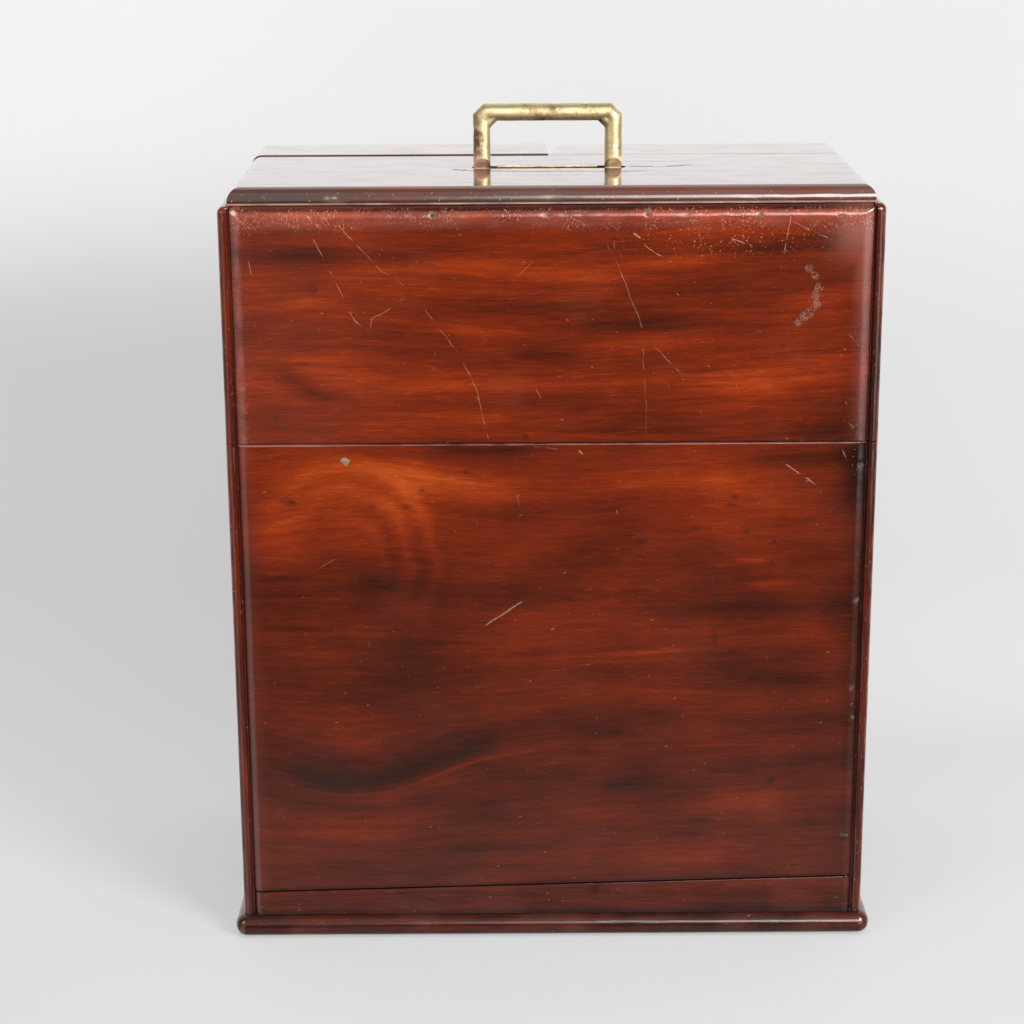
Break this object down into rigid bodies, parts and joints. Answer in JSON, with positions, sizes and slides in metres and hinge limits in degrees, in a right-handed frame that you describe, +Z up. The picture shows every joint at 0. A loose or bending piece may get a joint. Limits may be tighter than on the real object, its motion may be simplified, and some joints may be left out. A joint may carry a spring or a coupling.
{
  "type": "campaign stationery chest",
  "caption": "Tall mahogany stationery chest with a deep rear-hinged lid, a sinking brass carrying handle, side hooks, letter rack and lift-out pen tray.",
  "frame": {"origin": "on the ground, under the middle of the base board", "axes": "+Z up, the front faces -Y, +X is the viewer's right"},
  "size_m": [0.452, 0.246, 0.578],
  "materials": {
    "mahogany_case": "french polished, worn",
    "mahogany_lid": "french polished, scratched",
    "mahogany_top": "high gloss polish",
    "mahogany_base": "polished, dark",
    "mahogany_rail": "polished, dull",
    "mahogany_inner": "thin matt polish",
    "brass_handle": "aged, patchy patina",
    "brass_fittings": "aged",
    "iron_brads": "dull, filled over",
    "ink_glass": "clear"
  },
  "bodies": {
    "case": {"base_board": "mahogany_base", "base_screws": "brass_fittings", "case_side_left": "mahogany_case", "case_side_right": "mahogany_case", "case_front_board": "mahogany_case", "case_front_rail": "mahogany_rail", "case_back_board": "mahogany_case", "case_hinge_rail": "mahogany_inner", "front_brads": "iron_brads", "back_brads": "iron_brads", "hinge_leaves_lower": "brass_fittings", "hinge_pins": "brass_fittings", "hinge_screws_lower": "brass_fittings", "hook_pivot_screws": "brass_fittings", "rack_cheek_left": "mahogany_inner", "rack_cheek_right": "mahogany_inner", "rack_partition_front": "mahogany_inner", "rack_partition_middle": "mahogany_inner", "rack_partition_rear": "mahogany_inner", "rack_raised_floor": "mahogany_inner", "rack_divider_front": "mahogany_inner", "rack_divider_middle": "mahogany_inner", "tray_bearer_left": "mahogany_inner", "tray_bearer_right": "mahogany_inner"},
    "lid": {"lid_side_left": "mahogany_lid", "lid_side_right": "mahogany_lid", "lid_front_board": "mahogany_lid", "lid_back_board": "mahogany_lid", "lid_hinge_rail": "mahogany_inner", "lid_top_front_board": "mahogany_top", "lid_top_rear_left_board": "mahogany_top", "lid_top_rear_right_board": "mahogany_top", "lid_batten_front": "mahogany_inner", "lid_batten_rear": "mahogany_inner", "lid_brads": "iron_brads", "handle_guide_block": "mahogany_inner", "guide_block_screws": "brass_fittings", "handle_channel": "brass_fittings", "hinge_leaves_upper": "brass_fittings", "hinge_screws_upper": "brass_fittings", "hook_catch_studs": "brass_fittings"},
    "handle": {"carrying_handle": "brass_handle", "handle_stop_bar": "brass_fittings", "handle_nuts": "brass_fittings"},
    "hook_left": {"side_hook_left": "brass_fittings"},
    "hook_right": {"side_hook_right": "brass_fittings"},
    "tray": {"tray_bottom": "mahogany_inner", "tray_front": "mahogany_inner", "tray_back": "mahogany_inner", "tray_end_left": "mahogany_inner", "tray_end_right": "mahogany_inner", "tray_divider_left": "mahogany_inner", "tray_divider_right": "mahogany_inner", "tray_cross_divider_left": "mahogany_inner", "tray_cross_divider_right": "mahogany_inner", "pen_trough": "mahogany_inner"},
    "bottle_left": {"ink_bottle_left": "ink_glass"},
    "bottle_right": {"ink_bottle_right": "ink_glass"},
    "cap_left": {"ink_cap_left": "brass_fittings"},
    "cap_right": {"ink_cap_right": "brass_fittings"}
  },
  "joints": [
    {"name": "lid_hinge", "type": "hinge", "parent": "case", "child": "lid", "pos_m": [0, 0.1135, 0.36225], "axis": [-1, 0, 0], "range_deg": [0, 95]},
    {"name": "handle_slide", "type": "slide", "parent": "lid", "child": "handle", "axis": [0, 0, 1], "range_m": [-0.044, 0]},
    {"name": "hook_left_swing", "type": "hinge", "parent": "case", "child": "hook_left", "pos_m": [-0.222, 0.012, 0.33], "axis": [-1, 0, 0], "range_deg": [0, 180]},
    {"name": "hook_right_swing", "type": "hinge", "parent": "case", "child": "hook_right", "pos_m": [0.222, 0.012, 0.33], "axis": [-1, 0, 0], "range_deg": [0, 180]},
    {"name": "tray_lift", "type": "slide", "parent": "case", "child": "tray", "axis": [0, 0, 1], "range_m": [0, 0.06]},
    {"name": "bottle_left_lift", "type": "slide", "parent": "tray", "child": "bottle_left", "axis": [0, 0, 1], "range_m": [0, 0.05]},
    {"name": "bottle_right_lift", "type": "slide", "parent": "tray", "child": "bottle_right", "axis": [0, 0, 1], "range_m": [0, 0.05]},
    {"name": "cap_left_lift", "type": "slide", "parent": "bottle_left", "child": "cap_left", "axis": [0, 0, 1], "range_m": [0, 0.015]},
    {"name": "cap_right_lift", "type": "slide", "parent": "bottle_right", "child": "cap_right", "axis": [0, 0, 1], "range_m": [0, 0.015]}
  ]
}
